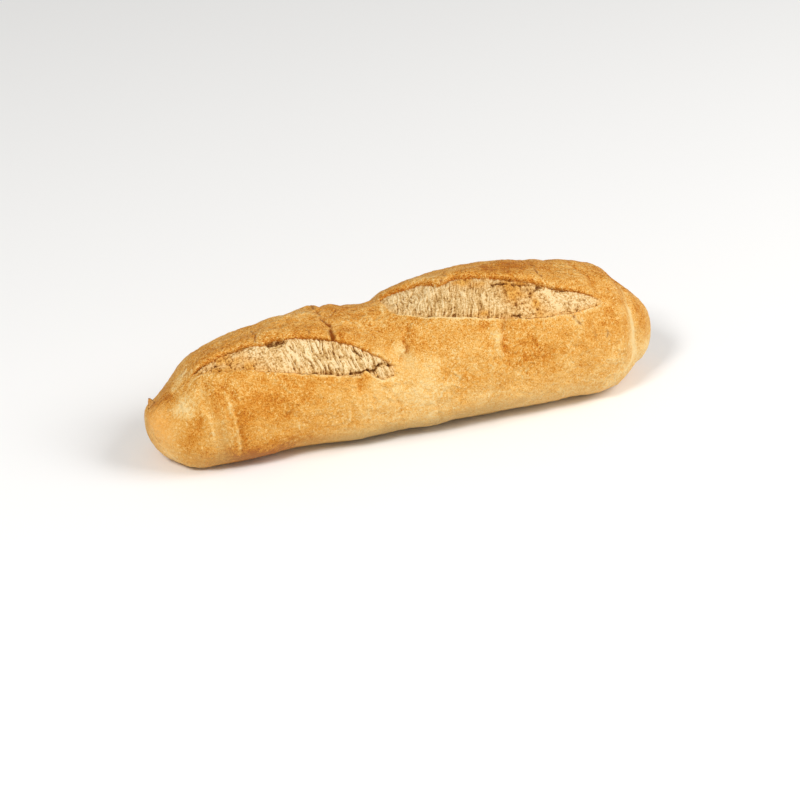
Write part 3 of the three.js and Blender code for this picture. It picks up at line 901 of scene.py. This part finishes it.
def flake_surfaces(sizes):
    """Flakes as closed rings of points in mm: small leaves that taper to both ends, arch up and curl.

    Each starts at a place on the crust and runs along it in its own direction, lifting as it goes. The lone
    flakes come first, then random ones along the slashes' front edges.
    """
    draw = np.random.default_rng(sizes.seed + 80)
    flakes = [np.array(LONE_FLAKES)]
    for slash in SLASHES:
        u = draw.uniform(slash["start"] + FLAKE_MARGINS[0], slash["end"] - FLAKE_MARGINS[1], FLAKE_COUNT)
        off, length, share, lift, heading = (draw.uniform(*span, FLAKE_COUNT) for span in FLAKE_RANGES)
        angle = slash_edges(u[:, None], slash, sizes.seed)[0][:, 0] + off
        browned = np.full(FLAKE_COUNT, FLAKE_BROWNING)
        flakes.append(np.stack([u, angle, heading, length, length * share, lift, browned], axis=1))
    u, angle, heading, length, width, lift, browned = np.concatenate(flakes).T[:, :, None, None]
    heading = np.radians(heading)
    along = np.linspace(0, 1, FLAKE_STEPS)[None, :, None]
    turn = np.linspace(0, 2 * np.pi, FLAKE_STEPS, endpoint=False)[None, None]
    leaf = LEAF["full"] * along ** LEAF["root"] * (1 - along) ** LEAF["tip"]
    side = width / 2 * leaf * np.cos(turn)
    thick = LEAF["thickness"] * leaf * np.sin(turn)
    forward = length * (along - LEAF["behind"])
    x = forward * np.cos(heading) - side * np.sin(heading)
    arc = forward * np.sin(heading) + side * np.cos(heading)
    curl = along ** LEAF["curl"] - LEAF["arch"] * (side / width) ** 2
    at_u = u + x / HALF_LENGTH
    at_angle = angle + arc / ARC_PER_DEGREE
    rings = loaf_points(at_u, at_angle, LEAF["level"] + lift * curl + thick + form_relief(at_u, at_angle))
    plain = np.zeros(rings.shape[:3])
    return rings, {"hollow": plain + browned, "toast": plain + np.interp(along, (0, 1), LEAF["toast"])}


def skin(name, rings, values):
    """Closed mesh over points in mm, of shape (bodies, stations, columns, 3), with values at each point.

    Columns join round, and the first and last ring of each body are one point each.
    """
    bodies, stations, columns, _ = rings.shape
    inner = rings[:, 1:-1].reshape(bodies, -1, 3)
    points = np.concatenate([inner, rings[:, :1].mean(axis=2), rings[:, -1:].mean(axis=2)], axis=1)
    count = points.shape[1]
    row = np.arange(stations - 3)[:, None, None] * columns
    column = np.arange(columns)
    following = (column + 1) % columns
    quads = row + np.stack([column, following, columns + following, columns + column], axis=-1)
    last = (stations - 3) * columns
    start = np.stack([following, column, np.full(columns, count - 2)], axis=-1)
    end = np.stack([last + column, last + following, np.full(columns, count - 1)], axis=-1)
    offset = (np.arange(bodies) * count)[:, None, None]
    quads = (quads.reshape(-1, 4) + offset).reshape(-1, 4)
    triangles = (np.concatenate([start, end]) + offset).reshape(-1, 3)
    mesh = bpy.data.meshes.new(name)
    mesh.from_pydata((points.reshape(-1, 3) * MM).tolist(), [], quads.tolist() + triangles.tolist())
    mesh.shade_smooth()
    for key, value in values.items():
        inner = value[:, 1:-1].reshape(bodies, -1)
        ends = value[:, (0, -1)].mean(axis=2)
        layer = mesh.attributes.new(key, "FLOAT", "POINT")
        layer.data.foreach_set("value", np.concatenate([inner, ends], axis=1).ravel().astype(np.float32))
    mesh.validate()
    piece = bpy.data.objects.new(name, mesh)
    bpy.context.scene.collection.objects.link(piece)
    return piece


def add_piece(name, surface, material, sizes):
    """Adds a piece of one or more bodies, with its material, at its place in the frame."""
    rings, values = surface
    if rings.ndim == 3:
        rings = rings[None]
        values = {key: value[None] for key, value in values.items()}
    piece = skin(name, in_frame(rings, sizes), values)
    piece.data.materials.append(material)
    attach(piece, "root")
    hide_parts("loaf")


def add_node(tree, kind, inputs=None, stops=(), **settings):
    """Adds a node with its settings, its inputs (values or outputs, by socket) and its ramp's stops."""
    node = tree.nodes.new(kind)
    for key, value in settings.items():
        setattr(node, key, value)
    for socket, value in (inputs or {}).items():
        if isinstance(value, bpy.types.NodeSocket):
            tree.links.new(value, node.inputs[socket])
        else:
            node.inputs[socket].default_value = value
    for turn, (place, tint) in enumerate(stops):
        elements = node.color_ramp.elements
        element = elements[turn] if turn < len(elements) else elements.new(1.0)
        element.position = place
        element.color = tint
    return node


def new_material(name):
    """A node material with its own Principled shader and Object coordinates."""
    material = bpy.data.materials.new(name)
    material.use_nodes = True
    tree = material.node_tree
    shader = tree.nodes["Principled BSDF"]
    place = add_node(tree, "ShaderNodeTexCoord").outputs["Object"]
    return material, tree, shader, place


def node_parts(tree, place, values, noises, ranges, sums):
    """Outputs by name: values of the mesh, noises by size in mm, detail and roughness, ranges that noises are
    taken from and brought to, and sums, each the first term times the second, plus the third.
    """
    parts = {}
    for key in values:
        parts[key] = add_node(tree, "ShaderNodeAttribute", attribute_name=key).outputs["Fac"]
    for key, size, detail, roughness in noises:
        inputs = {"Vector": place, "Scale": 1 / (size * MM), "Detail": detail, "Roughness": roughness}
        parts[key] = add_node(tree, "ShaderNodeTexNoise", inputs).outputs["Fac"]
    for key, source, low, high, start, end, ease in ranges:
        inputs = {"Value": parts[source], "From Min": low, "From Max": high, "To Min": start, "To Max": end}
        parts[key] = add_node(tree, "ShaderNodeMapRange", inputs, interpolation_type=ease).outputs["Result"]
    for key, *terms in sums:
        inputs = {turn: parts.get(term, term) for turn, term in enumerate(terms)}
        parts[key] = add_node(tree, "ShaderNodeMath", inputs, operation="MULTIPLY_ADD").outputs["Value"]
    return parts


# Baked wheat crust: dry and matt, gold mottled with brown, with an uneven peel, low wrinkles, pale blisters
# and flecks of flour, thick here and thin there, and dark pits of painted shade. Real grain is finer: at half
# a millimetre it shows. From the mesh come painted light on the slim tip, and painted shade on the foot, in
# cracks and under the lips.
def baked_crust(colours, sizes):
    material, tree, shader, place = new_material("baked_crust")
    noises = (
        ("clouds", 14.0, 2.0, 0.5), ("mottle", 5.0, 4.0, 0.65), ("folds", 7.0, 1.5, 0.5),
        ("peel", sizes.peel, 3.0, 0.6), ("flour", sizes.fleck, 2.0, 0.6), ("grain", 0.5, 1.0, 0.5),
        ("blisters", 1.0, 0.0, 0.5),
    )
    ranges = (
        ("thick", "clouds", 0.35, 0.62, 0.12, 0.36, "LINEAR"),
        ("fleck", "flour", 0.5, 0.68, 0.0, 1.0, "SMOOTHSTEP"),
        # Dark pits of painted shade
        ("pit", "flour", 0.44, 0.32, 0.0, 0.12, "SMOOTHSTEP"),
        ("blister", "blisters", 0.72, 0.8, 0.0, 0.3, "LINEAR"),
        ("fold rises", "folds", 0.38, 0.5, 0.0, 1.0, "SMOOTHSTEP"),
        ("fold falls", "folds", 0.5, 0.62, 1.0, 0.0, "SMOOTHSTEP"),
        ("wrinkled", "clouds", 0.5, 0.6, 0.0, 1.0, "LINEAR"),
        ("roughness", "peel", 0.0, 1.0, 0.5, 0.8, "LINEAR"),
    )
    sums = (
        ("ridge", "fold rises", "fold falls", 0.0),
        ("wrinkle", "ridge", "wrinkled", 0.0),
        ("floured", "fleck", "thick", "blister"),
        ("floured", "wrinkle", 0.1, "floured"),
        ("level", "grain", 1.15, -0.875),
        ("level", "mottle", 0.6, "level"),
        ("level", "level", "grainy", "browning"),
        ("level", "pit", 1.0, "level"),
        ("level", "floured", -1.0, "level"),
        ("height", "fleck", 0.1, "peel"),
        ("height", "wrinkle", 0.25, "height"),
    )
    parts = node_parts(tree, place, ("browning", "grainy", "warm", "foot", "crack"), noises, ranges, sums)
    shade = add_node(tree, "ShaderNodeValToRGB", {"Fac": parts["level"]}, (
        (0.0, colours.crust_pale), (0.25, colours.crust_light), (0.5, colours.crust_gold),
        (0.75, colours.crust_brown), (1.0, colours.crust_dark),
    )).outputs["Color"]
    # Mixes in painted light at the slim tip, painted shade on the foot, and painted shade in cracks and under
    # lips
    for key in ("warm", "foot", "crack"):
        inputs = {"Factor": parts[key], "A": shade, "B": getattr(colours, "crust_" + key)}
        shade = add_node(tree, "ShaderNodeMix", inputs, data_type="RGBA").outputs["Result"]
    inputs = {"Height": parts["height"], "Strength": 1.0, "Distance": 1.6 * MM}
    bump = add_node(tree, "ShaderNodeBump", inputs)
    tree.links.new(shade, shader.inputs["Base Color"])
    tree.links.new(parts["roughness"], shader.inputs["Roughness"])
    tree.links.new(bump.outputs["Normal"], shader.inputs["Normal"])
    shader.inputs["Specular IOR Level"].default_value = 0.17
    return material


# Torn white crumb: soft and dull, cream, lighter on high fibres with painted highlight, tan in pores and
# dark in holes with painted shade, with dark pits of painted shade and toasted edges. Real grain is finer:
# at three quarters of a millimetre it shows.
def torn_crumb(colours):
    material, tree, shader, place = new_material("torn_crumb")
    noises = (("grain", 0.75, 2.0, 0.7),)
    # Dark pits of painted shade
    ranges = (("pit", "grain", 0.42, 0.28, 0.0, 0.3, "LINEAR"),)
    sums = (("level", "grain", 1.95, -1.0), ("level", "pit", 1.0, "level"), ("level", "hollow", 1.0, "level"))
    parts = node_parts(tree, place, ("hollow", "toast"), noises, ranges, sums)
    shade = add_node(tree, "ShaderNodeValToRGB", {"Fac": parts["level"]}, (
        (0.12, colours.crumb_light), (0.36, colours.crumb_cream),
        (0.68, colours.crumb_hollow), (1.0, colours.crumb_hole),
    )).outputs["Color"]
    inputs = {"Factor": parts["toast"], "A": shade, "B": colours.crumb_toast}
    toasted = add_node(tree, "ShaderNodeMix", inputs, data_type="RGBA", blend_type="MULTIPLY")
    inputs = {"Height": parts["grain"], "Strength": 0.4, "Distance": 0.25 * MM}
    bump = add_node(tree, "ShaderNodeBump", inputs)
    tree.links.new(toasted.outputs["Result"], shader.inputs["Base Color"])
    tree.links.new(bump.outputs["Normal"], shader.inputs["Normal"])
    shader.inputs["Roughness"].default_value = 0.9
    shader.inputs["Specular IOR Level"].default_value = 0.15
    return material


# Painted studio floor: pale, even and dull.
def studio_floor(tint):
    material, _, shader, _ = new_material("studio_floor")
    shader.inputs["Base Color"].default_value = tint
    shader.inputs["Roughness"].default_value = 0.8
    return material


class BAGUETTE_OT_crust(bpy.types.Operator):
    """Make the crust of the loaf"""

    bl_idname = "baguette.crust"
    bl_label = "Crust"

    def execute(self, context):
        settings = context.scene.baguette
        sizes = settings.sizes
        add_piece("loaf_crust", crust_surface(sizes), baked_crust(settings.colours, sizes), sizes)
        return {"FINISHED"}


class BAGUETTE_OT_crumb(bpy.types.Operator):
    """Make the torn crumb in both slashes"""

    bl_idname = "baguette.crumb"
    bl_label = "Torn crumb"

    def execute(self, context):
        settings = context.scene.baguette
        sizes = settings.sizes
        material = torn_crumb(settings.colours)
        for slash in SLASHES:
            add_piece("crumb_" + slash["name"], crumb_surface(slash, sizes), material, sizes)
        return {"FINISHED"}


class BAGUETTE_OT_flakes(bpy.types.Operator):
    """Make the loose flakes along the torn edges"""

    bl_idname = "baguette.flakes"
    bl_label = "Flakes"

    def execute(self, context):
        settings = context.scene.baguette
        sizes = settings.sizes
        add_piece("crust_flakes", flake_surfaces(sizes), torn_crumb(settings.colours), sizes)
        return {"FINISHED"}


class BAGUETTE_OT_stage(bpy.types.Operator):
    """Make the floor, the lights and the camera"""

    bl_idname = "baguette.stage"
    bl_label = "Studio"

    def execute(self, context):
        scene = context.scene
        studio = scene.baguette.studio
        corners = FLOOR_HALF * np.array([[-1, -1, 0], [1, -1, 0], [1, 1, 0], [-1, 1, 0]])
        mesh = bpy.data.meshes.new("floor")
        mesh.from_pydata(corners.tolist(), [], [(0, 1, 2, 3)])
        floor = bpy.data.objects.new("floor", mesh)
        mesh.materials.append(studio_floor(studio.floor))
        scene.collection.objects.link(floor)

        world = bpy.data.worlds.new("studio_sky")
        world.use_nodes = True
        background = world.node_tree.nodes["Background"].inputs
        background["Color"].default_value = linear("#FFFFFF")
        background["Strength"].default_value = studio.sky
        scene.world = world

        aim = Vector(studio.aim)
        for name, (place, size) in LAMPS.items():
            lamp = bpy.data.lights.new(name, "AREA")
            lamp.energy = getattr(studio, name)
            lamp.size = size
            holder = bpy.data.objects.new(name, lamp)
            facing = (aim - Vector(place)).to_track_quat("-Z", "Y").to_matrix().to_4x4()
            holder.matrix_world = Matrix.Translation(place) @ facing
            scene.collection.objects.link(holder)

        turn = studio.azimuth
        rise = studio.elevation
        back = Vector((math.sin(turn) * math.cos(rise), -math.cos(turn) * math.cos(rise), math.sin(rise)))
        right = Vector((math.cos(turn), math.sin(turn), 0))
        up = back.cross(right)
        camera = bpy.data.cameras.new("camera")
        camera.lens = studio.lens
        camera.sensor_width = SENSOR_WIDTH
        eye = bpy.data.objects.new("camera", camera)
        facing = Matrix((right, up, back)).transposed().to_4x4()
        eye.matrix_world = Matrix.Translation(aim + back * studio.distance) @ facing
        scene.collection.objects.link(eye)
        scene.camera = eye
        scene.view_settings.view_transform = "Standard"
        return {"FINISHED"}


class BAGUETTE_PT_sidebar(bpy.types.Panel):
    """Settings of the loaf and buttons for its pieces"""

    bl_idname = "BAGUETTE_PT_sidebar"
    bl_label = "Mini Baguette"
    bl_space_type = "VIEW_3D"
    bl_region_type = "UI"
    bl_category = "Baguette"

    def draw(self, context):
        settings = context.scene.baguette
        for group in (settings.sizes, settings.colours, settings.studio):
            box = self.layout.box()
            for key in group.bl_rna.properties.keys():
                if key not in ("rna_type", "name"):
                    box.prop(group, key)
        for operator in (BAGUETTE_OT_crust, BAGUETTE_OT_crumb, BAGUETTE_OT_flakes, BAGUETTE_OT_stage):
            self.layout.operator(operator.bl_idname)


CLASSES = (
    LoafSizes, LoafColours, StudioSettings, BaguetteSettings, BAGUETTE_OT_crust, BAGUETTE_OT_crumb,
    BAGUETTE_OT_flakes, BAGUETTE_OT_stage, BAGUETTE_PT_sidebar,
)


def register():
    for cls in CLASSES:
        bpy.utils.register_class(cls)
    bpy.types.Scene.baguette = bpy.props.PointerProperty(type=BaguetteSettings)


def unregister():
    del bpy.types.Scene.baguette
    for cls in reversed(CLASSES):
        bpy.utils.unregister_class(cls)


def main():
    register()
    bpy.ops.baguette.crust()
    bpy.ops.baguette.crumb()
    bpy.ops.baguette.flakes()
    bpy.ops.baguette.stage()


if __name__ == "__main__":
    main()
